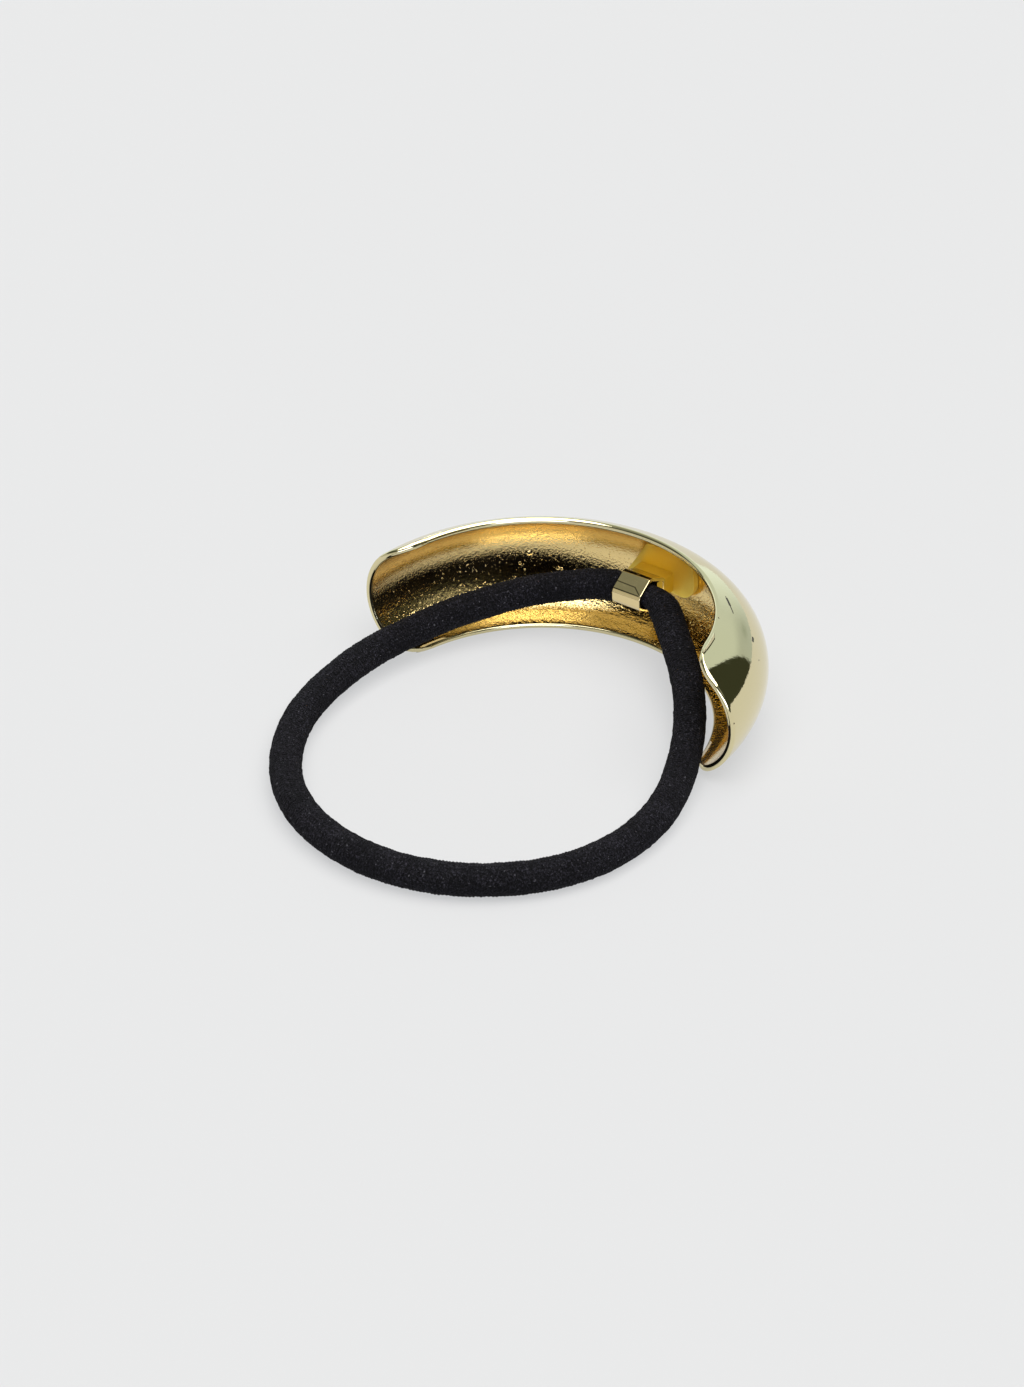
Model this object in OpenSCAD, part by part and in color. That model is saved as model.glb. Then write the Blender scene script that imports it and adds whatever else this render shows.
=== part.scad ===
// A ponytail cuff hair tie: a domed half ring of metal, open towards its axis, with a
// knitted elastic loop clamped to a small bracket in the hollow of the ring.
// The cuff lies as it does on a table: its axis is vertical and it stands on its lower rim.
// The origin is on the cuff's axis, in the plane that the lower rim rests on. +Y points to
// the middle of the half ring and +Z is up.

/* [Cuff] */
// Radius from the axis to the crest of the dome, outside
crest_r = 28.1; // [27:0.1:29]
// Radius from the axis to the middle of the rims
rim_r = 21.9; // [21.3:0.1:22.5]
// Height of the cuff from rim to rim
cuff_h = 16.2; // [15:0.2:18]
// Thickness of the wall, and diameter of its rounded rims
wall = 0.85; // [0.7:0.05:1]
// Angle from the crest, in section, at which the round dome goes over into straight flanks
flank_a = 63; // [60:1:66]
// Width of the flat that is worn along each rim, on which the cuff rests
rim_flat = 0.35; // [0.2:0.05:0.5]
// Distance by which each open end stops short of the half circle
end_gap = 1.2; // [0.8:0.1:2.5]
// Angle by which the half ring reaches further round on its right than on its left
end_turn = 0.7; // [0:0.1:1]
// Radius of the corners of the open ends, measured on the curved sheet
end_corner_r = 4.1; // [3:0.1:5]

/* [Bracket] */
// Height of the base plate
plate_h = 6.4; // [6:0.1:6.6]
// Thickness of the base plate at its middle
plate_t = 0.95; // [0.8:0.05:1]
// Radius of its front in section, which is flatter than the dome
plate_front_r = 13; // [11:0.5:14]
// Distance from the middle of the cuff's height down to the plate's lower edge
plate_drop = 2; // [1.8:0.1:2.4]
// Distance from the middle of the cuff to the plate's upright side
plate_side = 5.5; // [5:0.1:5.8]
// Distance from the middle of the cuff to the plate's lower corner on the slanted side
plate_foot = 5.7; // [5.4:0.1:6]
// Angle by which the slanted side leans inwards
plate_lean = 33; // [28:1:36]
// Radius of the plate's large corner, at the foot of its upright side
plate_corner_r = 2.2; // [1:0.1:2.4]
// Radius of its other corners
plate_small_r = 0.8; // [0.4:0.1:1.2]
// Width of the stem that carries the clamp band, along the elastic
stem_w = 4.9; // [4:0.1:5]
// Height of the stem
stem_h = 2.6; // [2:0.1:2.8]
// Distance by which the stem stands to the left of the cuff's middle
stem_left = 0.45; // [0:0.05:0.6]

/* [Clamp band] */
// Width of the band, along the elastic
band_w = 4.2; // [3.5:0.1:4.3]
// Thickness of the band's sheet
band_t = 0.45; // [0.35:0.05:0.5]
// Depth of the band, from its front towards the cuff's wall
band_depth = 5.7; // [5.6:0.1:5.9]
// Height of the band at its two ridges
band_h = 5.2; // [5.1:0.1:5.6]
// Depth of the solder that fills the band's back, behind the elastic
solder_t = 1.25; // [0.8:0.05:1.25]

/* [Elastic] */
// Diameter of the elastic
elastic_d = 4; // [3.6:0.1:4]
// Diameter of the elastic where the band squeezes it
squeezed_d = 3; // [2.6:0.1:3]

/* [Hidden] */
$fn = 96;

// Colours of the finishes
pale_gold = [0.86, 0.80, 0.62];
warm_gold = [0.80, 0.62, 0.28];
bright_gold = [0.90, 0.84, 0.68];
black_knit = [0.07, 0.07, 0.08];

// Cuff section: a dome arc that runs into short straight flanks, which end in round beads.
// The flanks lie a little inside the arc's tangents, and the beads are that much thicker.
mid_z = cuff_h / 2;
flank_in = 0.03;
flank_l = 8;
flank_n = [cos(flank_a), sin(flank_a)];
bead_r = wall / 2 + flank_in;
rim_z = mid_z - sqrt(pow(bead_r, 2) - pow(rim_flat / 2, 2));
// The arc's radius, outside, with which the flanks come out at the rims
dome_r = (rim_z * flank_n[1] - (crest_r - rim_r) * flank_n[0] + bead_r) / (1 - flank_n[0]);
dome_c = crest_r - dome_r;
beyond = 2 * crest_r;

// Open ends: their corners are arcs on the sheet. Where an arc comes near the rim, it goes
// on straight and a little past it, so that it crosses the bead.
sheet_r = dome_r - wall / 2;
sheet_arc = sheet_r * flank_a * PI / 180;
sheet_half = sheet_arc + (rim_z - sheet_r * flank_n[1]) / flank_n[0] + bead_r;
corner_turn = 65;
past_rim = 0.1;

// Base plate: its back follows the inside of the dome, a hair's breadth off it
seat_gap = 0.05;
plate_back_r = dome_r - wall - seat_gap;
plate_front_c = dome_c + plate_back_r - plate_t - plate_front_r;
// Columns: across, up from the middle of the cuff, radius of the corner
plate_corners = [
    [-plate_foot, -plate_drop, plate_small_r],
    [plate_side, -plate_drop, plate_corner_r],
    [plate_side, plate_h - plate_drop, plate_small_r],
    [plate_h * tan(plate_lean) - plate_foot, plate_h - plate_drop, plate_small_r],
];
corner_steps = 8;
stem_z = mid_z - 0.4;

// Clamp band: a crimped ring with a narrow front facet, two ridges and a back facet
band_front_y = 18.6;
band_back_y = band_front_y + band_depth;
band_ridge_y = band_front_y + 2.6;
band_facet_h = 1.7;
band_back_h = 2.3;
band_ring = [
    [band_front_y, -band_facet_h / 2],
    [band_ridge_y, -band_h / 2],
    [band_back_y, -band_back_h / 2],
    [band_back_y, band_back_h / 2],
    [band_ridge_y, band_h / 2],
    [band_front_y, band_facet_h / 2],
];
// The solder is a block that reaches into the band's back wall and stops short of its edges
solder_h = 2.4;
solder_in = 0.08;
solder_end_y = band_back_y - 0.2;
solder_y = band_back_y - band_t - solder_t;

// Elastic: its route from one cut end round to the other, both in the band
elastic_y = 21;
elastic_gap = 0.2;
elastic_sides = 12;
route = [
    [-elastic_gap / 2, elastic_y, mid_z],
    [-2.2, elastic_y, mid_z],
    [-5.1, 20.3, 7.9],
    [-8.9, 18.7, 7.1],
    [-13.1, 16.2, 6.1],
    [-16.6, 12.1, 5.3],
    [-19.4, 7.6, 4.7],
    [-21.4, 3.2, 4],
    [-22.7, -1, 3.6],
    [-23.5, -6.2, 3.2],
    [-23.5, -11.5, 2.8],
    [-22.7, -16.7, 2.5],
    [-20.7, -22.1, 2.2],
    [-17.2, -27.4, 2.1],
    [-12.4, -32, 2.1],
    [-6.5, -35.2, 2.1],
    [0, -36.8, 2.1],
    [6.5, -36.7, 2.1],
    [12.4, -35, 2.1],
    [17.6, -31.8, 2.1],
    [21.8, -27.5, 2.1],
    [24.6, -22, 2.1],
    [25.7, -15.6, 2.1],
    [25.2, -9.3, 2.3],
    [23.3, -3.4, 2.7],
    [20.8, 2, 3.4],
    [17.6, 7.2, 4.2],
    [14, 11.7, 5.2],
    [10, 15.6, 6.3],
    [6.6, 18.6, 7.3],
    [4.2, 20.4, 7.9],
    [2.2, elastic_y, mid_z],
    [elastic_gap / 2, elastic_y, mid_z],
];

function unit(v) = v / norm(v);

// Each corner of a convex outline, moved inwards by t across both of its edges
function edge_normal(a, b) = unit([a[1] - b[1], b[0] - a[0]]);
function inset(outline, t) = [
    for (i = [0 : len(outline) - 1])
        let (
            n = len(outline),
            before = edge_normal(outline[(i + n - 1) % n], outline[i]),
            after = edge_normal(outline[i], outline[(i + 1) % n])
        )
        outline[i] + t * (before + after) / (1 + before * after)
];

// An outline whose corners are rounded by their own radii
function corner_arc(a, b, c, r) =
    let (
        to_a = unit(a - b),
        to_c = unit(c - b),
        half = acos(to_a * to_c) / 2,
        centre = b + r / sin(half) * unit(to_a + to_c),
        from = b + r / tan(half) * to_a - centre,
        till = b + r / tan(half) * to_c - centre
    )
    [for (k = [0 : corner_steps]) centre + r * unit(from + k / corner_steps * (till - from))];
function flat(corner) = [corner[0], corner[1]];
function rounded(corners) = [
    for (i = [0 : len(corners) - 1])
        let (
            n = len(corners),
            before = flat(corners[(i + n - 1) % n]),
            after = flat(corners[(i + 1) % n])
        )
        each corner_arc(before, flat(corners[i]), after, corners[i][2])
];

// A ring of the elastic: its plane is square to the route, and it is narrower in the band
function along(i) = unit(route[min(i + 1, len(route) - 1)] - route[max(i - 1, 0)]);
function ring_r(i) = abs(route[i][0]) < band_w / 2 + 0.5 && route[i][1] > band_front_y
    ? squeezed_d / 2
    : elastic_d / 2;
function ring(i) =
    let (
        side = unit(cross([0, 0, 1], along(i))),
        above = cross(along(i), side)
    )
    [
        for (k = [0 : elastic_sides - 1])
            let (a = 360 * k / elastic_sides)
            route[i] + ring_r(i) * (cos(a) * side + sin(a) * above)
    ];

module bell(r) {
    start = (r - flank_in) * flank_n;
    end = start + flank_l * [-flank_n[1], flank_n[0]];
    circle(r = r);
    polygon([[start[0], -start[1]], start, end, [end[0], -end[1]]]);
}

module wall_section() {
    near = [rim_r, rim_z] - 2 * wall * flank_n;
    far = near + beyond * flank_n;
    intersection() {
        translate([dome_c, 0]) difference() {
            bell(dome_r);
            bell(dome_r - wall);
        }
        polygon([near, [near[0], -near[1]], [far[0], -far[1]], far]);
    }
    for (side = [0, 1]) mirror([0, side]) translate([rim_r, rim_z]) intersection() {
        circle(r = bead_r, $fn = 24);
        translate([-wall, mid_z - rim_z - 2 * wall]) square(2 * wall);
    }
}

// Height above the crest of a place on the sheet, at a distance along it from the crest
function sheet_height(s) = s < sheet_arc
    ? sheet_r * sin(s / sheet_r * 180 / PI)
    : sheet_r * flank_n[1] + (s - sheet_arc) * flank_n[0];

// One corner of the open ends, seen from the side, from the middle outwards
end_corner = [
    for (k = [0 : corner_steps])
        let (a = k / corner_steps * corner_turn)
        [
            end_gap + end_corner_r * (1 - cos(a)),
            sheet_height(sheet_half - end_corner_r * (1 - sin(a)))
        ],
    [end_gap + end_corner_r, mid_z + past_rim],
    [beyond, beyond],
];

// What is left of the half ring within its open ends, seen from the side
module side_outline() {
    last = len(end_corner) - 1;
    translate([-beyond, 0, mid_z]) rotate([90, 0, 90]) linear_extrude(2 * beyond)
        polygon(concat([for (i = [last : -1 : 0]) [end_corner[i][0], -end_corner[i][1]]], end_corner));
}

module cuff() {
    color(pale_gold) intersection() {
        translate([0, 0, mid_z]) rotate_extrude(angle = 180) wall_section();
        rotate([0, 0, -end_turn]) side_outline();
    }
}

module plate_section() {
    difference() {
        translate([dome_c, 0]) circle(r = plate_back_r);
        translate([plate_front_c, 0]) circle(r = plate_front_r);
    }
}

module seat_bracket() {
    stem_y = band_back_y + seat_gap;
    stem_end_y = dome_c + plate_back_r - plate_t / 2;
    color(warm_gold) {
        intersection() {
            translate([0, 0, mid_z]) rotate([0, 0, 60]) rotate_extrude(angle = 60) plate_section();
            translate([0, beyond, mid_z]) rotate([90, 0, 0]) linear_extrude(beyond)
                polygon(rounded(plate_corners));
        }
        translate([-stem_left - stem_w / 2, stem_y, stem_z - stem_h / 2])
            cube([stem_w, stem_end_y - stem_y, stem_h]);
    }
}

module clamp_band() {
    color(bright_gold) {
        translate([-band_w / 2, 0, mid_z]) rotate([90, 0, 90])
            linear_extrude(band_w) difference() {
                polygon(band_ring);
                polygon(inset(band_ring, band_t));
            }
        translate([solder_in - band_w / 2, solder_y, mid_z - solder_h / 2])
            cube([band_w - 2 * solder_in, solder_end_y - solder_y, solder_h]);
    }
}

module elastic_loop() {
    last = len(route) - 1;
    n = elastic_sides;
    sides = [
        for (i = [0 : last - 1], k = [0 : n - 1])
            let (a = i * n + k, b = i * n + (k + 1) % n)
            [a, a + n, b + n, b]
    ];
    start_cap = [for (k = [0 : n - 1]) k];
    end_cap = [for (k = [n - 1 : -1 : 0]) last * n + k];
    color(black_knit) polyhedron(
        points = [for (i = [0 : last]) each ring(i)],
        faces = concat(sides, [start_cap, end_cap]),
        convexity = 6
    );
}

cuff();
seat_bracket();
clamp_band();
elastic_loop();
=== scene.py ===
# %% [markdown]
# # A ponytail cuff with a knitted elastic
#
# The object is a hair tie. A domed half ring of plated metal hides the place where a loop of
# knitted elastic is held, so that a ponytail looks as if it had a gold band round it. The CAD
# model gives every size and place. This script adds what CAD leaves out: the knit, the
# rounded edges, the polish, the rough cast inside, the light and the table.
#
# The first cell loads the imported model. Its nodes stay where they are, and each new piece is
# made over them in the same frame, in metres, with Z up and the cuff's axis on Z. Sizes are
# written in millimetres below, and mm turns them into metres.

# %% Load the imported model
import math

import bmesh
import bpy
import numpy as np
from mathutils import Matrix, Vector


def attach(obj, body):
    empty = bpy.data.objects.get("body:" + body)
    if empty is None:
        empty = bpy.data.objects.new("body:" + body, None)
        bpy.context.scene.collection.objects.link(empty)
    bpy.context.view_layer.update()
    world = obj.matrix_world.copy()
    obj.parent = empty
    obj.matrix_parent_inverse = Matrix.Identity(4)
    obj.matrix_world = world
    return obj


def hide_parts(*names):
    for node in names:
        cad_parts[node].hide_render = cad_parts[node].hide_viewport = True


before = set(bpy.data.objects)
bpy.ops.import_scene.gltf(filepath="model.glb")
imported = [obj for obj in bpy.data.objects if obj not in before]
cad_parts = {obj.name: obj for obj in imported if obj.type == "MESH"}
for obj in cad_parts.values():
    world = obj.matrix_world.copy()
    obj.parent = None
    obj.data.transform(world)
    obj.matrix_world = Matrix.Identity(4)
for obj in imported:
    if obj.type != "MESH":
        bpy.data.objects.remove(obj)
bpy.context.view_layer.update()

mm = 0.001
print("CAD nodes:", sorted(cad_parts))

# %% [markdown]
# ## The camera
#
# The photograph was taken with a long lens from the front right, about 33 degrees above the
# table. The camera's place was found by fitting the circles of the two rims and the ends of
# the half ring. A long lens makes the far side of the ring nearly as large as the near side,
# so the lens has to be right before any shape is compared with the photograph.

# %% Place the camera
camera_place = (0.217326, -0.285932, 0.235105)
camera_turn = (57.2415, 1.2279, 36.9401)
lens_mm, sensor_mm = 90.84, 36

bpy.ops.object.select_all(action="DESELECT")
bpy.ops.object.camera_add(
    location=camera_place, rotation=[math.radians(angle) for angle in camera_turn]
)
camera = bpy.context.object
camera.name = "camera"
camera.data.lens = lens_mm
camera.data.sensor_width = sensor_mm
bpy.context.scene.camera = camera
print("camera", round(camera.location.length / mm), "mm from the axis' foot, lens", lens_mm, "mm")

# %% [markdown]
# ## Wiring materials
#
# Every finish is a network of nodes. A small class places nodes and joins them, so that a
# recipe reads as one line per step. A value that is the same all over a surface is set on the
# shader itself, and only what changes over the surface is joined to it.

# %% A helper for node networks
class Wiring:
    """Places nodes in a tree. An input given as a socket is joined, any other is set."""

    def __init__(self, tree):
        self.tree = tree

    def fill(self, node, inputs):
        """Gives a node its inputs, by name or by number."""
        for name, value in inputs.items():
            if isinstance(value, bpy.types.NodeSocket):
                self.tree.links.new(value, node.inputs[name])
            else:
                node.inputs[name].default_value = value
        return node

    def put(self, kind, inputs, **settings):
        """A new node with its settings and its inputs."""
        node = self.tree.nodes.new(kind)
        for name, value in settings.items():
            setattr(node, name, value)
        return self.fill(node, inputs)

    def math(self, operation, *values):
        node = self.put("ShaderNodeMath", dict(enumerate(values)), operation=operation)
        return node.outputs[0]

    def plus(self, first, second):
        return self.math("ADD", first, second)

    def times(self, first, second):
        return self.math("MULTIPLY", first, second)

    def vector(self, operation, *values):
        """A step with vectors, which puts out a number where it measures something."""
        node = self.put("ShaderNodeVectorMath", dict(enumerate(values)), operation=operation)
        measures = operation in ("LENGTH", "DOT_PRODUCT")
        return node.outputs["Value" if measures else "Vector"]

    def scaled(self, vector, factor):
        inputs = {0: vector, "Scale": factor}
        return self.put("ShaderNodeVectorMath", inputs, operation="SCALE").outputs["Vector"]

    def axes(self, place):
        """The three coordinates of a place."""
        return self.put("ShaderNodeSeparateXYZ", {0: place}).outputs[:]

    def noise(self, place, scale, detail=2.0, roughness=0.5):
        inputs = {"Vector": place, "Scale": scale, "Detail": detail, "Roughness": roughness}
        return self.put("ShaderNodeTexNoise", inputs).outputs["Fac"]

    def between(self, value, low, high, to_low=0.0, to_high=1.0):
        """A smooth step from to_low at low to to_high at high."""
        inputs = {0: value, 1: low, 2: high, 3: to_low, 4: to_high}
        return self.put("ShaderNodeMapRange", inputs, interpolation_type="SMOOTHSTEP").outputs[0]

    def blend(self, share, first, second):
        """The first colour where the share is 0, the second where it is 1."""
        inputs = {0: share, 6: first, 7: second}
        return self.put("ShaderNodeMix", inputs, data_type="RGBA").outputs[2]


# %% Helpers that start and end a finish
def new_finish(name):
    """A new material, its wiring, and the places on the object."""
    material = bpy.data.materials.new(name)
    material.use_nodes = True
    wiring = Wiring(material.node_tree)
    return material, wiring, wiring.put("ShaderNodeTexCoord", {}).outputs["Object"]


def finish_with(material, wiring, inputs, height=None, depth=0.0):
    """Gives the shader its inputs by name, and a relief whose depth is in mm."""
    if height is not None:
        relief = wiring.put("ShaderNodeBump", {"Height": height, "Distance": depth * mm})
        inputs["Normal"] = relief.outputs["Normal"]
    wiring.fill(material.node_tree.nodes["Principled BSDF"], inputs)
    print(material.name, "has", len(material.node_tree.nodes), "nodes")


# %% [markdown]
# ## The elastic
#
# The real elastic is a rubber core in a tube of fine black knitting. Both of its cut ends are
# crimped in the clamp band, so it is one open cord that starts and ends there. It leaves the
# band to the left inside the channel, lies on the table in front and comes back up to the
# band's right side.
#
# A curve with a round bevel would give a plain tube. The knit stands out in the outline as
# fine ribs across the cord, so the tube is made ring by ring instead: its rings are close
# enough for four of them to make one rib. The route is the CAD solid's own route.

# %% Give the elastic's route
route = [
    (-0.1, 21, 8.1), (-2.2, 21, 8.1), (-5.1, 20.3, 7.9), (-8.9, 18.7, 7.1), (-13.1, 16.2, 6.1),
    (-16.6, 12.1, 5.3), (-19.4, 7.6, 4.7), (-21.4, 3.2, 4), (-22.7, -1, 3.6), (-23.5, -6.2, 3.2),
    (-23.5, -11.5, 2.8), (-22.7, -16.7, 2.5), (-20.7, -22.1, 2.2), (-17.2, -27.4, 2.1),
    (-12.4, -32, 2.1), (-6.5, -35.2, 2.1), (0, -36.8, 2.1), (6.5, -36.7, 2.1), (12.4, -35, 2.1),
    (17.6, -31.8, 2.1), (21.8, -27.5, 2.1), (24.6, -22, 2.1), (25.7, -15.6, 2.1),
    (25.2, -9.3, 2.3), (23.3, -3.4, 2.7), (20.8, 2, 3.4), (17.6, 7.2, 4.2), (14, 11.7, 5.2),
    (10, 15.6, 6.3), (6.6, 18.6, 7.3), (4.2, 20.4, 7.9), (2.2, 21, 8.1), (0.1, 21, 8.1),
]
rib_pitch = 0.42
rings_per_rib = 4
fine_steps = 8000


def run_along(places):
    """The distance along a line of places, from its start to each of them."""
    return np.r_[0, np.cumsum(np.linalg.norm(np.diff(places, axis=0), axis=1))]


def smooth_line(points):
    """Close places on the smooth curve through the points, which is a natural spline."""
    knots = np.array(points, float)
    at = run_along(knots)
    gap = np.diff(at)
    rows, pull = np.eye(len(knots)), np.zeros_like(knots)
    for i in range(1, len(knots) - 1):
        rows[i, i - 1 : i + 2] = gap[i - 1], 2 * (gap[i - 1] + gap[i]), gap[i]
        before, after = np.diff(knots[i - 1 : i + 2], axis=0) / gap[i - 1 : i + 1, None]
        pull[i] = 6 * (after - before)
    curl = np.linalg.solve(rows, pull)
    spot = np.linspace(0, at[-1], fine_steps)
    i = np.clip(np.searchsorted(at, spot) - 1, 0, len(gap) - 1)
    past, left, span = (spot - at[i])[:, None], (at[i + 1] - spot)[:, None], gap[i][:, None]
    line = (curl[i] * left**3 + curl[i + 1] * past**3) / (6 * span)
    line += (knots[i] / span - curl[i] * span / 6) * left
    line += (knots[i + 1] / span - curl[i + 1] * span / 6) * past
    return line


fine_line = smooth_line(route)
fine_run = run_along(fine_line)
elastic_length = fine_run[-1]
ribs = round(elastic_length / rib_pitch)
ring_run = np.linspace(0, elastic_length, ribs * rings_per_rib + 1)
centres = np.stack([np.interp(ring_run, fine_run, fine_line[:, k]) for k in range(3)], 1)
print("elastic", round(elastic_length, 1), "mm long,", ribs, "ribs,", len(centres), "rings")

# %% Shape the ribs and the squeezed stretch
tube_sides = 56
elastic_r = 2.0
mean_r = elastic_r - 0.05
squeezed_r = 1.52
rib_height, rib_waver = 0.04, 0.16
lump_height, fuzz_height = 0.03, 0.05
band_front_y = 18.6
# how far from the band's middle the elastic is full again, and over what length it swells
full_at = {"left": 3.0, "right": 5.2}
swells_over = {"left": 0.9, "right": 3.2}
above_table = 0.06

turns = np.arange(tube_sides) / tube_sides
rng = np.random.default_rng(4)


def eased(share):
    """A share from 0 to 1 with a soft start and a soft end."""
    return share * share * (3 - 2 * share)


def slow_noise(size_along, size_round):
    """Smooth random values from -1 to 1 over the tube, the same at both ends of a turn."""
    cells = int(len(centres) / size_along) + 2, int(tube_sides / size_round)
    seed = rng.uniform(-1, 1, cells)
    seed = np.c_[seed, seed[:, :1]]
    i = np.linspace(0, cells[0] - 1.001, len(centres))
    k = turns * cells[1]
    i0, k0 = i.astype(int), k.astype(int)
    s, t = eased((i - i0)[:, None]), eased((k - k0)[None])
    low = seed[i0][:, k0] * (1 - t) + seed[i0][:, k0 + 1] * t
    high = seed[i0 + 1][:, k0] * (1 - t) + seed[i0 + 1][:, k0 + 1] * t
    return low * (1 - s) + high * s


rib_at = np.arange(len(centres))[:, None] / rings_per_rib
phase = 2 * math.pi * (rib_at + 2 * turns[None] + rib_waver * slow_noise(6, 5))
rib = rib_height * np.cos(phase) * (1 + 0.5 * slow_noise(5, 4))
lumps = lump_height * slow_noise(26, 9) + fuzz_height * slow_noise(5, 2.4)
on_right = centres[:, 0] > 0
till = np.where(on_right, full_at["right"], full_at["left"])
over = np.where(on_right, swells_over["right"], swells_over["left"])
squeeze = np.clip((till - np.abs(centres[:, 0])) / over, 0, 1)
squeeze = eased(squeeze * (centres[:, 1] > band_front_y))[:, None]
radius = (mean_r + rib + lumps) * (1 - squeeze) + (squeezed_r + 0.4 * rib) * squeeze
print("elastic radius from", round(radius.min(), 2), "to", round(radius.max(), 2), "mm")

# %% Join the rings into a tube
along = np.gradient(centres, axis=0)
along /= np.linalg.norm(along, axis=1)[:, None]
side = np.cross((0, 0, 1), along)
side /= np.linalg.norm(side, axis=1)[:, None]
above = np.cross(along, side)
angle = 2 * math.pi * turns[None, :, None]
points = centres[:, None] + radius[..., None] * (
    np.cos(angle) * side[:, None] + np.sin(angle) * above[:, None]
)
points[..., 2] = np.maximum(points[..., 2], above_table)

n = tube_sides
last = len(centres) - 1
faces = [
    (i * n + k, i * n + (k + 1) % n, (i + 1) * n + (k + 1) % n, (i + 1) * n + k)
    for i in range(last)
    for k in range(n)
]
caps = [tuple(range(n - 1, -1, -1)), tuple(last * n + k for k in range(n))]
knit_mesh = bpy.data.meshes.new("elastic")
knit_mesh.from_pydata(points.reshape(-1, 3) * mm, [], faces + caps)
knit_mesh.shade_smooth()
elastic = bpy.data.objects.new("elastic", knit_mesh)
bpy.context.scene.collection.objects.link(elastic)

# the tube's own map counts ribs along the cord and turns round it
uv = knit_mesh.uv_layers.new(name="knit")
run_of, turn_of = np.repeat(np.arange(last), n), np.tile(np.arange(n), last)
corner_run = np.stack([run_of, run_of, run_of + 1, run_of + 1], 1).ravel() / rings_per_rib
corner_turn = np.stack([turn_of, turn_of + 1, turn_of + 1, turn_of], 1).ravel() / n
corners = np.zeros((len(knit_mesh.loops), 2))
corners[: len(corner_run)] = np.stack([corner_run, corner_turn], 1)
uv.data.foreach_set("uv", corners.ravel())

checked = bmesh.new()
checked.from_mesh(knit_mesh)
volume = checked.calc_volume(signed=True) / mm**3
print("elastic volume", round(volume), "mm3,", len(faces), "quads")
checked.free()

# %% [markdown]
# ### The knit's finish
#
# Seen close, the cover is rows of tiny loops with short fibres standing off them. The loops
# follow the cord, so they are drawn on the tube's own map, and every second row is shifted by
# half a loop. The fibres and the few specks of lint don't follow anything, so they are noise
# in the object's space. Black yarn is never quite black, and its fibres are lighter in places.
# On top of that, the base colour holds a painted highlight on the loops' tops and painted
# shade in their gaps.

# %% Black knit
rows_round = 26
# the darker black also stands for painted shade in the gaps, the lighter one also for painted
# highlight
black_and_gap_shade = (0.0012, 0.0011, 0.0014, 1)
fibre_and_highlight_black = (0.026, 0.0242, 0.031, 1)
lint_grey = (0.15, 0.145, 0.16, 1)

knit, w, place = new_finish("black_knit")
on_tube = w.put("ShaderNodeUVMap", {}, uv_map="knit").outputs["UV"]
rib_number, turn_share, _ = w.axes(on_tube)
row = w.times(turn_share, rows_round)
odd_row = w.math("MODULO", w.math("FLOOR", row), 2.0)
stitch = w.plus(rib_number, w.times(odd_row, 0.5))


def humps(count, power):
    """One hump for each whole number that is counted, flatter with a smaller power."""
    return w.math("POWER", w.math("ABSOLUTE", w.math("SINE", w.times(count, math.pi))), power)


loops = w.times(humps(stitch, 0.7), humps(row, 0.5))
fibres = w.between(w.noise(place, 5200, roughness=0.7), 0.48, 0.68)
tufts = w.between(w.noise(place, 2600, roughness=0.6), 0.36, 0.66)
patches = w.between(w.noise(place, 220), 0.3, 0.7, 0.5, 1.3)
lint = w.between(w.noise(place, 3300, detail=0), 0.75, 0.82)
# the mask mixes the fibres' own lighter tone with a painted highlight on the loops' tops
fibres_and_highlight = w.times(w.times(w.plus(w.times(loops, 0.3), fibres), tufts), patches)
shade = w.blend(fibres_and_highlight, black_and_gap_shade, fibre_and_highlight_black)
finish_with(
    knit,
    w,
    {
        "Base Color": w.blend(w.times(lint, 0.3), shade, lint_grey),
        "Roughness": 0.8,
        "Specular IOR Level": 0.09,
        "Sheen Weight": 0.012,
        "Sheen Roughness": 0.4,
        "Sheen Tint": (0.85, 0.82, 1.0, 1),
    },
    height=w.plus(loops, w.plus(fibres, tufts)),
    depth=0.12,
)
elastic.data.materials.append(knit)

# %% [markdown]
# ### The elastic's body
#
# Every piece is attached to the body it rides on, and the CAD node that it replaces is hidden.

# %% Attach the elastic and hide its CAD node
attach(elastic, "root")
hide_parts("elastic_loop")
print("the cord's line has", len(centres[::6]), "places")

# %% [markdown]
# ## Working in edit mode
#
# The metal pieces are modelled with the tools that a person uses by hand. A few helpers keep
# the cells short. An operator works on all that is selected, and the loaded nodes start out
# selected, so a new piece starts with everything deselected, and each step then selects what
# it changes, by its place.

# %% Helpers that start and close a piece
def metres(place):
    """A place or a size in mm, in metres."""
    return [c * mm for c in place]


def start_piece(name):
    """An empty mesh object with this name, open in edit mode."""
    bpy.ops.object.select_all(action="DESELECT")
    bpy.ops.mesh.primitive_circle_add(vertices=3, radius=mm)
    piece = bpy.context.object
    piece.name = piece.data.name = name
    bpy.ops.object.mode_set(mode="EDIT")
    bpy.ops.mesh.select_all(action="SELECT")
    bpy.ops.mesh.delete(type="VERT")
    return piece


def point_at(place):
    """One vertex at a place in mm: a tiny triangle that is merged to its middle."""
    bpy.ops.mesh.primitive_circle_add(vertices=3, radius=0.01 * mm, location=metres(place))
    bpy.ops.mesh.merge(type="CENTER")


def close_piece(piece):
    """Back to object mode, with a word on the piece's size and whether it is closed."""
    bpy.ops.object.mode_set(mode="OBJECT")
    mesh = bmesh.new()
    mesh.from_mesh(piece.data)
    open_edges = sum(not edge.is_manifold for edge in mesh.edges)
    volume = mesh.calc_volume(signed=True) / mm**3
    print(f"{piece.name}: {len(mesh.faces)} faces, {open_edges} open edges, {volume:.1f} mm3")
    mesh.free()


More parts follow.
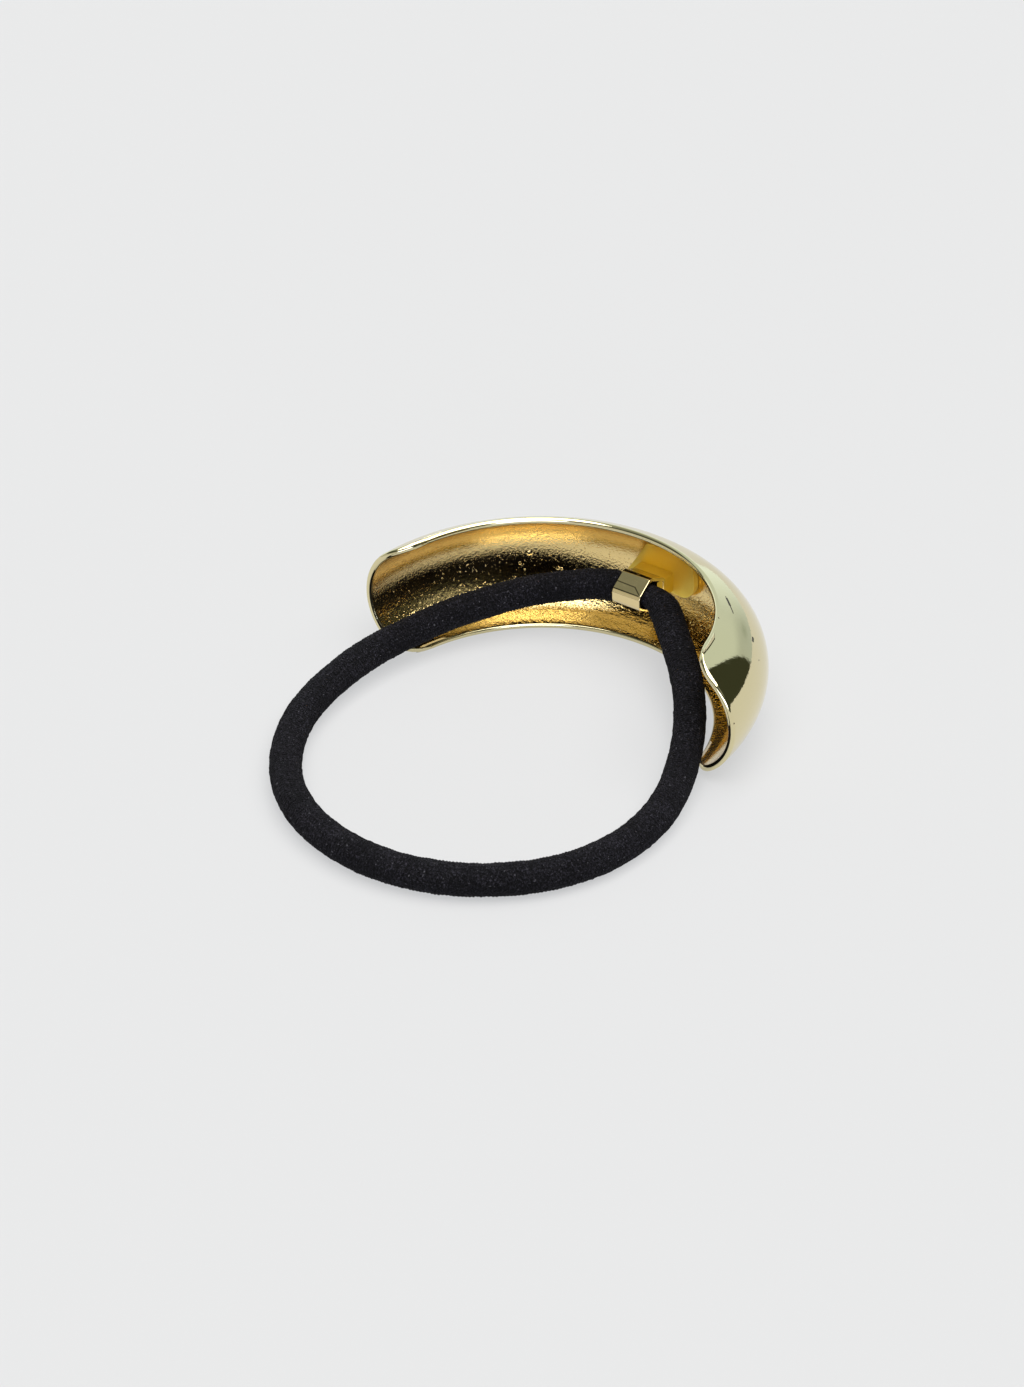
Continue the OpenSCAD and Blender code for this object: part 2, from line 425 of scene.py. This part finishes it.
# %% Helpers that select and turn faces
def select(piece, kind, wanted):
    """Selects the vertices, edges or faces for which wanted(element) is true."""
    bpy.ops.mesh.select_mode(type={"verts": "VERT", "edges": "EDGE", "faces": "FACE"}[kind])
    bpy.ops.mesh.select_all(action="DESELECT")
    mesh = bmesh.from_edit_mesh(piece.data)
    found = 0
    for element in getattr(mesh, kind):
        if wanted(element):
            element.select_set(True)
            found += 1
    mesh.select_flush_mode()
    bmesh.update_edit_mesh(piece.data)
    return found


def face_one_way(merge_within=0.0):
    """Merges vertices closer than this, in mm, and turns all faces to the same side."""
    bpy.ops.mesh.select_all(action="SELECT")
    if merge_within:
        bpy.ops.mesh.remove_doubles(threshold=merge_within * mm)
    bpy.ops.mesh.normals_make_consistent(inside=False)


def face_out(piece, way):
    """Flips an open sheet if its face furthest that way, 1 or -1 along Y, points inwards."""
    sheet = bmesh.from_edit_mesh(piece.data)
    furthest = max(sheet.faces, key=lambda face: way * face.calc_center_median().y)
    if way * furthest.normal.y < 0:
        bpy.ops.mesh.flip_normals()


# %% [markdown]
# ## The cuff
#
# The real cuff is cast or pressed from brass alloy, polished outside and plated. In section it
# is a domed channel, and its rims and ends are rounded. It could be a spun section that a
# curved cutter trims at the ends, but such a cut leaves slivers of faces, and a mirror
# finish shows every one of them. Here each hoop line is spun from its own starting point on
# the rounded end outline, so the mesh runs cleanly along the ring right up to its edges.

# %% The cuff's sizes, from the CAD model
mid_z = 8.1
wall = 0.85
dome_r = 8.21
dome_c = 28.1 - dome_r
middle_r = dome_r - wall / 2
flank_angle = math.radians(63)
rim_r, rim_z = 21.9, 7.68
rim_round = 0.43
end_y, end_turn = 1.2, math.radians(0.7)
corner_r = 4.1
arc_points = 14
flank_shares = (0.3, 0.57, 0.8, 1)


def wall_line():
    """The middle of the wall in section, from rim to rim: distance from the axis and height."""
    arc = [
        (dome_c + middle_r * math.cos(a), middle_r * math.sin(a))
        for a in np.linspace(0, flank_angle, arc_points)
    ]
    foot, way = np.array(arc[-1]), np.array((rim_r, rim_z)) - arc[-1]
    way *= 1 + rim_round / np.linalg.norm(way)
    half = arc + [tuple(foot + way * share) for share in flank_shares]
    return [(r, mid_z - z) for r, z in reversed(half[1:])] + [(r, mid_z + z) for r, z in half]


section = wall_line()
sheet_run = run_along(section)
sheet_half = sheet_run[-1] / 2


def end_reach(across):
    """How far an end stops short of the half circle, at a distance on the sheet from its crest."""
    past = max(abs(across) - (sheet_half - corner_r), 0)
    return end_y + corner_r - math.sqrt(corner_r**2 - past**2)


print("cuff section of", len(section), "points, sheet", round(2 * sheet_half, 1), "mm wide")

# %% Spin and bridge the hoops
hoop_steps = 120

cuff = start_piece("cuff_shell")
for (r, z), run in zip(section, sheet_run):
    short = math.asin(end_reach(run - sheet_half) / r)
    start = short - end_turn
    point_at((r * math.cos(start), r * math.sin(start), z))
    bpy.ops.mesh.spin(
        steps=hoop_steps, angle=2 * short - math.pi, center=(0, 0, 0), axis=(0, 0, 1)
    )


def on_hoop(vertex, r, z, slack=0.02):
    """True for a vertex of the hoop with this radius and height."""
    x, y, height = vertex.co / mm
    return abs(math.hypot(x, y) - r) < slack and abs(height - z) < slack


for (r0, z0), (r1, z1) in zip(section, section[1:]):
    select(cuff, "verts", lambda v: on_hoop(v, r0, z0) or on_hoop(v, r1, z1))
    bpy.ops.mesh.bridge_edge_loops()
face_one_way(merge_within=0.005)
face_out(cuff, 1)
close_piece(cuff)

# %% [markdown]
# ### What the gold finishes share
#
# A flaw in metal is a short line or a dot: a scratch, a pimple of the casting or a crease of
# the crimping tool. One node group measures the distance from the line between two ends and
# gives a mask, and each finish decides what it does with the mask.
#
# Plating is never quite even either. Its shade drifts a little from patch to patch, and its
# polish comes and goes at a smaller scale. That is a second group, which each gold places
# with its own two shades and its own range of roughness.

# %% A node group for small flaws
def new_group(name, inputs, outputs):
    """A node group with these sockets and their kinds, its wiring and its inputs."""
    group = bpy.data.node_groups.new(name, "ShaderNodeTree")
    for way, sockets in (("INPUT", inputs), ("OUTPUT", outputs)):
        for socket, kind in sockets.items():
            group.interface.new_socket(socket, in_out=way, socket_type=f"NodeSocket{kind}")
    wiring = Wiring(group)
    return group, wiring, wiring.put("NodeGroupInput", {}).outputs


flaw_group, w, given = new_group(
    "small_flaw",
    {"Place": "Vector", "Start": "Vector", "End": "Vector", "Width": "Float"},
    {"Mask": "Float"},
)
line = w.vector("SUBTRACT", given["End"], given["Start"])
from_start = w.vector("SUBTRACT", given["Place"], given["Start"])
dots = [w.vector("DOT_PRODUCT", line, other) for other in (from_start, line)]
share = w.put("ShaderNodeClamp", {"Value": w.math("DIVIDE", *dots)}).outputs[0]
off = w.vector("LENGTH", w.vector("SUBTRACT", from_start, w.scaled(line, share)))
mask = w.between(w.math("DIVIDE", off, given["Width"]), 1.0, 0.4)
w.put("NodeGroupOutput", {"Mask": mask})


def flaws(wiring, place, lines):
    """The masks of all the lines (start, end, width in mm), the strongest at each point."""
    whole = 0.0
    for start, end, width in lines:
        inputs = {"Place": place, "Start": metres(start), "End": metres(end), "Width": width * mm}
        group = wiring.put("ShaderNodeGroup", inputs, node_tree=flaw_group)
        whole = wiring.math("MAXIMUM", group.outputs["Mask"], whole)
    return whole


print(flaw_group.name, "has", len(flaw_group.nodes), "nodes")

# %% A node group for uneven plating
plating_group, w, given = new_group(
    "uneven_plating",
    {
        "Place": "Vector",
        "First Shade": "Color",
        "Second Shade": "Color",
        "Patch Scale": "Float",
        "Patch Detail": "Float",
        "Polish Scale": "Float",
        "Polish Detail": "Float",
        "Polish Low": "Float",
        "Polish High": "Float",
        "Smoothest": "Float",
        "Roughest": "Float",
    },
    {"Shade": "Color", "Roughness": "Float"},
)
patch_noise = w.noise(given["Place"], given["Patch Scale"], given["Patch Detail"])
polish_noise = w.noise(given["Place"], given["Polish Scale"], given["Polish Detail"])
range_ends = [given[name] for name in ("Polish Low", "Polish High", "Smoothest", "Roughest")]
shade = w.blend(patch_noise, given["First Shade"], given["Second Shade"])
w.put("NodeGroupOutput", {"Shade": shade, "Roughness": w.between(polish_noise, *range_ends)})

usual_plating = {
    "Patch Scale": 300,
    "Patch Detail": 3,
    "Polish Scale": 900,
    "Polish Detail": 3,
    "Polish Low": 0.3,
    "Polish High": 0.7,
}


def plated(wiring, place, own):
    """The shade and the roughness of plating, from its own values over the usual ones."""
    inputs = {"Place": place, **usual_plating, **own}
    outputs = wiring.put("ShaderNodeGroup", inputs, node_tree=plating_group).outputs
    return outputs["Shade"], outputs["Roughness"]


print(plating_group.name, "has", len(plating_group.nodes), "nodes")

# %% [markdown]
# ### The cuff's outside
#
# The outside is polished and plated pale gold, so it is nearly a mirror: its colour comes
# from what it reflects. With one roughness and no relief its reflections would be as straight
# as in glass, so both are noise, and the reflections' edges waver a little. The polisher
# missed a few scratches and dots, and tiny pits stay in patches near the rims, where the wheel
# doesn't reach well. They are dark, rough and slightly sunk.

# %% Polished pale gold
flaw_black = (0.03, 0.025, 0.015, 1)
scratch_lines = [
    ((16.95, 15.85, 15.62), (18.15, 14.82, 15.51), 0.21),
    ((18.15, 14.82, 15.51), (19.34, 13.76, 15.36), 0.10),
    ((16.59, 16.16, 15.64), (16.69, 16.06, 15.64), 0.07),
    ((22.64, 13.08, 13.42), (23.02, 12.52, 13.35), 0.22),
    ((19.16, 10.94, 16.17), (19.29, 10.71, 16.17), 0.09),
    ((21.95, 4.10, 16.05), (21.95, 4.10, 16.05), 0.12),
    ((24.69, 11.35, 11.89), (24.69, 11.35, 11.89), 0.13),
    ((27.95, 1.25, 9.50), (27.95, 1.25, 9.50), 0.14),
    ((-12.2, 25.23, 7.0), (-13.1, 24.75, 7.4), 0.07),
    ((3.0, 27.82, 9.5), (3.0, 27.82, 9.5), 0.12),
]

polished, w, place = new_finish("polished_gold")
shade, rough = plated(
    w,
    place,
    {
        "First Shade": (0.70, 0.625, 0.37, 1),
        "Second Shade": (0.75, 0.67, 0.41, 1),
        "Patch Scale": 90,
        "Polish Scale": 700,
        "Polish Detail": 4,
        "Polish Low": 0.35,
        "Polish High": 0.75,
        "Smoothest": 0.035,
        "Roughest": 0.08,
    },
)
from_middle = w.math("ABSOLUTE", w.math("SUBTRACT", w.axes(place)[2], mid_z * mm))
near_rim = w.between(from_middle, 7.55 * mm, 7.8 * mm)
pitted_part = w.between(w.noise(place, 120, detail=1), 0.5, 0.62)
pits = w.between(w.noise(place, 1900, roughness=0.6), 0.66, 0.72)
pits = w.times(pits, w.times(near_rim, pitted_part))
dark = w.math("MAXIMUM", flaws(w, place, scratch_lines), pits)
waver = w.plus(w.noise(place, 260, detail=1), w.times(w.noise(place, 1900), 0.55))
finish_with(
    polished,
    w,
    {
        "Base Color": w.blend(dark, shade, flaw_black),
        "Roughness": w.plus(rough, w.times(dark, 0.4)),
        "Metallic": 1.0,
    },
    height=w.math("SUBTRACT", waver, w.times(dark, 2.0)),
    depth=0.012,
)

# %% [markdown]
# ### The cuff's inside
#
# The inside keeps the skin of the casting under the same plating, with a thin clear lacquer
# that makes its highlights paler. A fine grain with small bumps breaks up the reflections,
# and low down it is drawn out into streaks round the ring. The right end is smoother. Light
# that bounces twice in the channel turns orange, as the plating colours it each time.
#
# The wall turns in slightly just above the lower rim, and that slight lip catches the low
# light in front. It is far too shallow to model, so it is a slope in the same relief.

# %% Cast gold of the inside
pimple_lines = [
    ((-17.03, 21.26, 7.88), (-16.90, 21.38, 7.91), 0.38),
    ((-17.84, 20.38, 6.55), (-17.84, 20.38, 6.55), 0.26),
    ((-13.80, 23.09, 5.86), (-13.80, 23.09, 5.86), 0.28),
    ((-13.36, 23.32, 5.79), (-13.36, 23.32, 5.79), 0.20),
    ((12.04, 24.45, 8.20), (12.04, 24.45, 8.20), 0.24),
]

small_circle = 6

cast, w, place = new_finish("cast_gold")
shade, rough = plated(
    w,
    place,
    {
        "First Shade": (0.80, 0.59, 0.23, 1),
        "Second Shade": (0.87, 0.68, 0.31, 1),
        "Patch Scale": 160,
        "Patch Detail": 4,
        "Smoothest": 0.03,
        "Roughest": 0.07,
    },
)
x, y, z = w.axes(place)
# an angle is taken as a run on a small circle, which draws the noise out along the ring
hoop_run = w.times(w.math("ARCTAN2", x, y), small_circle * mm)
drawn_out = w.put("ShaderNodeCombineXYZ", {0: hoop_run, 1: z, 2: y}).outputs[0]
streaks = w.times(w.noise(drawn_out, 2200), w.between(z, 8 * mm, 4 * mm))
bumps = w.between(w.noise(place, 3000, detail=1), 0.66, 0.76)
grain = w.plus(w.noise(place, 3400, roughness=0.6), streaks)
grain = w.plus(grain, w.times(bumps, 0.5))
smoother = w.between(x, 17 * mm, 23 * mm)
grain = w.times(grain, w.math("SUBTRACT", 1.0, w.times(smoother, 0.6)))
pimples = flaws(w, place, pimple_lines)
lip = w.between(z, 1.75 * mm, 0.85 * mm)
finish_with(
    cast,
    w,
    {
        "Base Color": shade,
        "Roughness": rough,
        "Metallic": 1.0,
        "Coat Weight": 0.6,
        "Coat Roughness": 0.2,
    },
    height=w.plus(w.plus(grain, w.times(pimples, 1.2)), w.times(lip, 4.4)),
    depth=0.036,
)

# %% [markdown]
# ### The line between them
#
# Where the polished outside meets the cast inside, a thin dark line is painted along the inner
# edge. It is darkest low down and on the right, and broken elsewhere. The line is one strip of
# faces wide, so it gets a finish of its own, which is easier to keep sharp than a mask.

# %% Dark line where the polish ends
edge_gold = (0.60, 0.44, 0.18, 1)
dark_line_black = (0.012, 0.010, 0.006, 1)

edge_line_finish, w, place = new_finish("dark_edge_line")
x, _, z = w.axes(place)
# how dark the painted line is: most low down and on the right, broken by noise
most = w.math("MAXIMUM", w.between(x, -6 * mm, 5 * mm), w.between(z, 9 * mm, 7 * mm))
unbroken = w.between(w.noise(place, 300), 0.3, 0.5)
darkness = w.times(w.plus(w.times(most, 0.6), 0.35), unbroken)
finish_with(
    edge_line_finish,
    w,
    {
        "Base Color": w.blend(darkness, edge_gold, dark_line_black),
        "Metallic": 1.0,
        "Roughness": 0.4,
    },
)

# %% [markdown]
# ### The wall and its round edges
#
# So far the cuff is a sheet without thickness. Solidify gives it a wall on both sides of the
# sheet and gives the inner faces the next finish, the cast one. A bevel rounds the rims and
# ends, and weighted normals keep the mirror calm where large faces meet the narrow faces of
# the rounding.

# %% Give the cuff its wall and round its edges
edge_round = 0.4


def apply_modifier(piece, kind, **settings):
    """Adds one modifier with its settings and applies it at once."""
    modifier = piece.modifiers.new(kind.lower(), kind)
    for name, value in settings.items():
        setattr(modifier, name, value)
    bpy.ops.object.modifier_apply(modifier=modifier.name)


for finish in (polished, cast, edge_line_finish):
    cuff.data.materials.append(finish)
on_outside, on_inside, on_line = range(3)
apply_modifier(
    cuff, "SOLIDIFY", thickness=wall * mm, offset=0, use_even_offset=True, material_offset=1
)
apply_modifier(
    cuff,
    "BEVEL",
    width=edge_round * mm,
    segments=5,
    limit_method="ANGLE",
    angle_limit=math.radians(60),
    use_clamp_overlap=False,
    material=on_outside,
)
bpy.ops.object.shade_smooth()
apply_modifier(cuff, "WEIGHTED_NORMAL", weight=50)

# %% Mark the line where the polish ends
shell = bmesh.new()
shell.from_mesh(cuff.data)
strip = {
    face.index
    for face in shell.faces
    if face.material_index == on_outside
    and any(near.material_index == on_inside for edge in face.edges for near in edge.link_faces)
}
shell.free()
for index in strip:
    cuff.data.polygons[index].material_index = on_line
print("cuff_shell:", len(cuff.data.polygons), "faces,", len(strip), "along the end of the polish")
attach(cuff, "root")
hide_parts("cuff")

# %% [markdown]
# ## The base plate and its stem
#
# Inside the dome's middle sits a smooth plate, soldered to the cast metal, with a short stem
# to the clamp band. It lies a little askew: its right side is upright and its left side
# leans. Its outline is drawn and pushed through the wall's curve as a block, and the curved
# lens that the plate is a part of is spun round the axis. What both share is the plate.

# %% Draw the plate's block
plate_corners = [(-5.7, -2, 0.8), (5.5, -2, 2.2), (5.5, 4.4, 0.8), (-1.54, 4.4, 0.8)]
block_front, block_depth = 20, 12


def rounded(corners, steps=7):
    """Points along an outline whose corners (x, z, radius) are rounded."""
    points = []
    for i, (x, z, r) in enumerate(corners):
        here = Vector((x, z))
        before = (Vector(corners[i - 1][:2]) - here).normalized()
        after = (Vector(corners[(i + 1) % len(corners)][:2]) - here).normalized()
        half = before.angle(after) / 2
        centre = here + (before + after).normalized() * r / math.sin(half)
        first = here + before * r / math.tan(half) - centre
        last = here + after * r / math.tan(half) - centre
        for k in range(steps + 1):
            points.append(centre + first.lerp(last, k / steps).normalized() * r)
    return points


def draw_line(places):
    """A vertex that is extruded from place to place, in mm."""
    point_at(places[0])
    for here, there in zip(places, places[1:]):
        step = (Vector(there) - Vector(here)) * mm
        bpy.ops.mesh.extrude_region_move(TRANSFORM_OT_translate={"value": step})


plate = start_piece("base_plate")
draw_line([(p.x, block_front, mid_z + p.y) for p in rounded(plate_corners)])
bpy.ops.mesh.select_all(action="SELECT")
bpy.ops.mesh.edge_face_add()
bpy.ops.mesh.extrude_region_move(TRANSFORM_OT_translate={"value": (0, block_depth * mm, 0)})
face_one_way()
close_piece(plate)

# %% Spin the lens
plate_thickness, solder_gap = 0.95, 0.05
plate_back_r = dome_r - wall - solder_gap
lens_front_r = 13.0
lens_front_c = dome_c + plate_back_r - plate_thickness - lens_front_r
lens_points, lens_turn, lens_steps = 29, math.radians(60), 48

lens = start_piece("lens")
tip_r = (lens_front_r**2 - plate_back_r**2) / (dome_c - lens_front_c) / 2
tip_r += (dome_c + lens_front_c) / 2
tip_z = math.sqrt(plate_back_r**2 - (tip_r - dome_c) ** 2)
back = math.atan2(tip_z, tip_r - dome_c)
front = math.atan2(tip_z, tip_r - lens_front_c)
outline = [
    (dome_c + plate_back_r * math.cos(a), plate_back_r * math.sin(a))
    for a in np.linspace(-back, back, lens_points)
]
outline += [
    (lens_front_c + lens_front_r * math.cos(a), lens_front_r * math.sin(a))
    for a in np.linspace(front, -front, lens_points)[1:-1]
]
draw_line([(r * math.cos(lens_turn), r * math.sin(lens_turn), mid_z + z) for r, z in outline])
bpy.ops.mesh.select_all(action="SELECT")
bpy.ops.mesh.edge_face_add()
bpy.ops.mesh.spin(steps=lens_steps, angle=-lens_turn, center=(0, 0, 0), axis=(0, 0, 1))
face_one_way(merge_within=0.001)
close_piece(lens)

# %% Cut the plate out, add the stem and soften the edges
stem_middle, stem_size = (-0.45, 25.5, 7.7), (4.9, 2.3, 2.6)
plate_edge = 0.13


def block(middle, size):
    """A plain block to join with, given by its middle and its size in mm."""
    bpy.ops.object.select_all(action="DESELECT")
    bpy.ops.mesh.primitive_cube_add(size=1, location=metres(middle), scale=metres(size))
    bpy.ops.object.transform_apply(location=True, rotation=True, scale=True)
    return bpy.context.object


def combine(piece, operation, other):
    """Joins the other object to the piece, or keeps only what both share."""
    bpy.ops.object.select_all(action="DESELECT")
    bpy.context.view_layer.objects.active = piece
    piece.select_set(True)
    apply_modifier(piece, "BOOLEAN", operation=operation, object=other, solver="EXACT")
    bpy.data.objects.remove(other)


combine(plate, "INTERSECT", lens)
combine(plate, "UNION", block(stem_middle, stem_size))
apply_modifier(
    plate,
    "BEVEL",
    width=plate_edge * mm,
    segments=3,
    limit_method="ANGLE",
    angle_limit=math.radians(40),
)
bpy.ops.object.shade_smooth_by_angle(angle=math.radians(35))
apply_modifier(plate, "WEIGHTED_NORMAL", weight=50, keep_sharp=True)
close_piece(plate)
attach(plate, "root")
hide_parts("seat_bracket")

# %% [markdown]
# ### The plate's finish
#
# The plate has a deeper yellow than the cuff and no grain, and it is satin rather than
# polished, so it stays an even yellow beside the casting's busy reflections. That is the
# plating group again, with yellower shades and a much rougher range.

# %% Smooth yellow gold of the plate
yellow, w, place = new_finish("yellow_gold")
shade, rough = plated(
    w,
    place,
    {
        "First Shade": (0.92, 0.67, 0.12, 1),
        "Second Shade": (0.96, 0.74, 0.16, 1),
        "Smoothest": 0.46,
        "Roughest": 0.56,
    },
)
finish_with(
    yellow,
    w,
    {"Base Color": shade, "Roughness": rough, "Metallic": 1.0},
    height=w.noise(place, 700),
    depth=0.015,
)
plate.data.materials.append(yellow)

# %% [markdown]
# ## The clamp band
#
# A strip of sheet is bent round both ends of the elastic and crimped, which leaves flat
# facets with soft ridges between them. The ring's outline is drawn once and extruded to the
# band's width. Solidify gives it the thickness of sheet, and a bevel gives the ridges the
# soft bend that sheet metal keeps. The crimping tool's jaws press the wide facets in a
# little. Solder fills the corner behind the elastic, where the band is joined to the stem.

# %% Bend the band
band_half = 2.1
band_outline = [
    (band_front_y, -0.85), (21.2, -2.6), (24.3, -1.15),
    (24.3, 1.15), (21.2, 2.6), (band_front_y, 0.85),
]

band = start_piece("clamp_ring")
draw_line([(-band_half, y, mid_z + z) for y, z in band_outline])
select(band, "verts", lambda v: v.co.y < (band_front_y + 0.1) * mm)
bpy.ops.mesh.edge_face_add()
bpy.ops.mesh.select_all(action="SELECT")
bpy.ops.mesh.extrude_region_move(TRANSFORM_OT_translate={"value": (2 * band_half * mm, 0, 0)})
face_one_way()
face_out(band, -1)
close_piece(band)

# %% Give the band its thickness and its crimped ridges
band_sheet = 0.45
ridge_width, fold_round = 0.3, 0.09


def in_line_with_width(edge, slack=0.01):
    """True for the long edges of the ridges, which run along the band's width."""
    a, b = (v.co / mm for v in edge.verts)
    return abs(a.y - b.y) < slack and abs(a.z - b.z) < slack


bpy.ops.object.mode_set(mode="EDIT")
ridges = select(band, "edges", in_line_with_width)
bpy.ops.mesh.bevel(offset=ridge_width * mm, segments=1, affect="EDGES")
bpy.ops.object.mode_set(mode="OBJECT")
apply_modifier(band, "SOLIDIFY", thickness=band_sheet * mm, offset=-1, use_even_offset=True)
apply_modifier(
    band,
    "BEVEL",
    width=fold_round * mm,
    segments=3,
    limit_method="ANGLE",
    angle_limit=math.radians(15),
)
print(ridges, "ridges, sheet", band_sheet, "mm thick,", len(band.data.polygons), "faces")

# %% Press the facets and fill the back with solder
band_middle_y = 21.3
wide_facet = 6
facet_rim, press_slope, press_depth = 0.3, 0.08, 0.02
solder_middle, solder_size = (0, 23.35, mid_z), (2 * band_half - 0.16, 1.5, 2.4)


def is_wide_facet(face):
    """True for the outer facets on which the crimping tool pressed its flat jaws."""
    middle = face.calc_center_median() / mm
    out = Vector((0, middle.y - band_middle_y, middle.z - mid_z)).normalized()
    return face.calc_area() > wide_facet * mm * mm and face.normal.dot(out) > 0.6


bpy.ops.object.mode_set(mode="EDIT")
pressed = select(band, "faces", is_wide_facet)
bpy.ops.mesh.inset(thickness=facet_rim * mm, use_individual=True)
bpy.ops.mesh.inset(thickness=press_slope * mm, depth=-press_depth * mm, use_individual=True)
bpy.ops.object.mode_set(mode="OBJECT")
combine(band, "UNION", block(solder_middle, solder_size))
close_piece(band)
print(pressed, "pressed facets")
bpy.ops.object.shade_smooth_by_angle(angle=math.radians(50))
apply_modifier(band, "WEIGHTED_NORMAL", weight=50, keep_sharp=True)
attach(band, "root")
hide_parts("clamp_band")

# %% [markdown]
# ### The band's finish
#
# The band is plated pale gold and has the shine of rolled sheet, a little duller than the
# cuff's outside. The crimping tool left thin creases across its front facets. They are too fine
# to be worth faces, so the shade in them is painted as thin dark lines with the group for small
# flaws.

# %% Crimped pale gold of the band
crease_shade_brown = (0.10, 0.085, 0.04, 1)
crease_lines = [
    ((-2.1, 19.72, 9.70), (0.7, 19.66, 9.66), 0.12),
    ((0.7, 19.66, 9.66), (1.75, 19.0, 9.22), 0.12),
    ((-2.1, 18.84, 9.11), (1.75, 18.84, 9.11), 0.12),
]

crimped, w, place = new_finish("crimped_gold")
shade, rough = plated(
    w,
    place,
    {
        "First Shade": (0.74, 0.60, 0.31, 1),
        "Second Shade": (0.82, 0.67, 0.37, 1),
        "Polish Scale": 1200,
        "Smoothest": 0.07,
        "Roughest": 0.14,
    },
)
# painted shade along the crimping creases
painted_crease_shade = w.times(flaws(w, place, crease_lines), 0.75)
finish_with(
    crimped,
    w,
    {"Base Color": w.blend(painted_crease_shade, shade, crease_shade_brown), "Roughness": rough, "Metallic": 1.0},
    height=w.noise(place, 700),
    depth=0.02,
)
band.data.materials.append(crimped)

# %% [markdown]
# ## The table
#
# The photograph's ground is one even pale grey, with only faint soft shadows. White paper
# under a bright light would have stronger ones. So the paper here is a dark grey that glows
# by itself: the glow gives most of its brightness, and the light's share leaves the shadows.

# %% The table
table_size = 6
paper_greys = (0.132, 0.130, 0.127, 1), (0.135, 0.133, 0.130, 1)
paper_glow = 0.532

bpy.ops.object.select_all(action="DESELECT")
bpy.ops.mesh.primitive_plane_add(size=table_size)
table = bpy.context.object
table.name = table.data.name = "table"
paper, w, place = new_finish("table_paper")
shade = w.blend(w.noise(place, 3), *paper_greys)
finish_with(
    paper,
    w,
    {
        "Base Color": shade,
        "Roughness": 0.9,
        "Specular IOR Level": 0.0,
        "Emission Color": (0.99, 1.0, 1.015, 1),
        "Emission Strength": paper_glow,
    },
)
table.data.materials.append(paper)

# %% [markdown]
# ## The room
#
# A mirror finish shows the room, so the room matters as much as the metal's colour. It is a
# sky, which lights the table evenly everywhere, as lamps at a distance of a few metres can't.
# A large soft box hangs overhead. Behind the table stands a white backdrop, brighter low down
# on its left and dimmer on its right, where it ends in a straight edge: the dark field on the
# cuff's right side is the dark room beyond that edge. Low in front, under the camera, a
# bright panel lights the cuff's lower flank. The rest is a plain wall on the left, a dim
# wall on the right and a dim ceiling.
#
# Each part is a field of directions with soft edges. The azimuth is 0 towards +Y, behind the
# table, and grows towards +X, on the right. Both angles are in degrees.

# %% Directions in the room
world = bpy.data.worlds.new("studio")
bpy.context.scene.world = world
world.use_nodes = True
w = Wiring(world.node_tree)
east, north, height = w.axes(w.put("ShaderNodeTexCoord", {}).outputs["Generated"])
elevation = w.math("DEGREES", w.math("ARCSINE", height))
azimuth = w.math("DEGREES", w.math("ARCTAN2", east, north))


def within(value, middle, half, soft):
    """1 where value is within half of middle, with a soft edge."""
    off = w.math("ABSOLUTE", w.math("SUBTRACT", value, middle))
    return w.between(off, half + soft, half - soft)


def field(across, up):
    """A field of the room, from its middle, half size and soft edge each way, in degrees."""
    return w.times(within(azimuth, *across), within(elevation, *up))


print("room", world.name, "wired from", len(world.node_tree.nodes), "nodes so far")

# %% The soft box and the backdrop
softbox_light = (5.5, 5.5, 5.5, 1)
backdrop_white = (0.72, 0.82, 0.84)
spot_grey = (0.35, 0.42, 0.38, 1)
lowest_height = 0.05

# the soft box's sides are straight on a flat ceiling, one unit above the table
above_horizon = w.math("MAXIMUM", height, lowest_height)
ceiling_east = w.math("DIVIDE", east, above_horizon)
ceiling_north = w.math("DIVIDE", north, above_horizon)
softbox = w.times(within(ceiling_east, 0.35, 0.65, 0.06), within(ceiling_north, -0.1, 0.8, 0.06))
softbox = w.times(softbox, w.between(height, lowest_height, 0.1))

backdrop = w.times(w.between(azimuth, 15.5, 13.5), w.between(azimuth, -95, -85))
backdrop = w.times(backdrop, w.between(elevation, 52, 40))
low_light = w.between(azimuth, -26, 2, 1.45, 0.76)
higher_up = w.between(elevation, 13, 23)
lit = w.plus(w.times(low_light, w.math("SUBTRACT", 1.0, higher_up)), higher_up)
spot = field((1, 3, 4), (8.5, 2, 4))
print("soft box and backdrop:", len(world.node_tree.nodes), "nodes")

# %% The walls, the panel and the whole room
dark_room = (0.048, 0.054, 0.034, 1)
dim_ceiling, left_ceiling = (0.42, 0.43, 0.38, 1), (0.24, 0.26, 0.24, 1)
dim_wall = (0.36, 0.37, 0.33, 1)
pale_wall = (0.60, 0.60, 0.56, 1)
panel_light = (6.0, 6.5, 8.4, 1)
below_horizon = (0.81, 0.81, 0.81, 1)

# the left wall goes on past the direction straight to the front, where the azimuth starts anew
full_turn = w.math("MODULO", w.plus(azimuth, 360), 360)
left_wall = w.times(within(full_turn, 215, 47, 6), w.between(elevation, 26, 16))
ceiling = w.blend(within(azimuth, -118, 30, 15), dim_ceiling, left_ceiling)
room = w.blend(w.between(elevation, 38, 50), dark_room, ceiling)
room = w.blend(field((93, 15, 8), (34, 9, 5)), room, dim_wall)
room = w.blend(left_wall, room, pale_wall)
room = w.blend(field((141, 22, 6), (8, 6, 3)), room, panel_light)
room = w.blend(backdrop, room, w.scaled(backdrop_white, lit))
room = w.blend(w.times(spot, 0.8), room, spot_grey)
room = w.blend(softbox, room, softbox_light)
room = w.blend(w.between(elevation, -1, 0), below_horizon, room)
w.fill(world.node_tree.nodes["Background"], {"Color": room, "Strength": 1.0})

scene = bpy.context.scene
scene.view_settings.view_transform = "Standard"
scene.view_settings.look = "None"
print("room", world.name, "has", len(world.node_tree.nodes), "nodes")
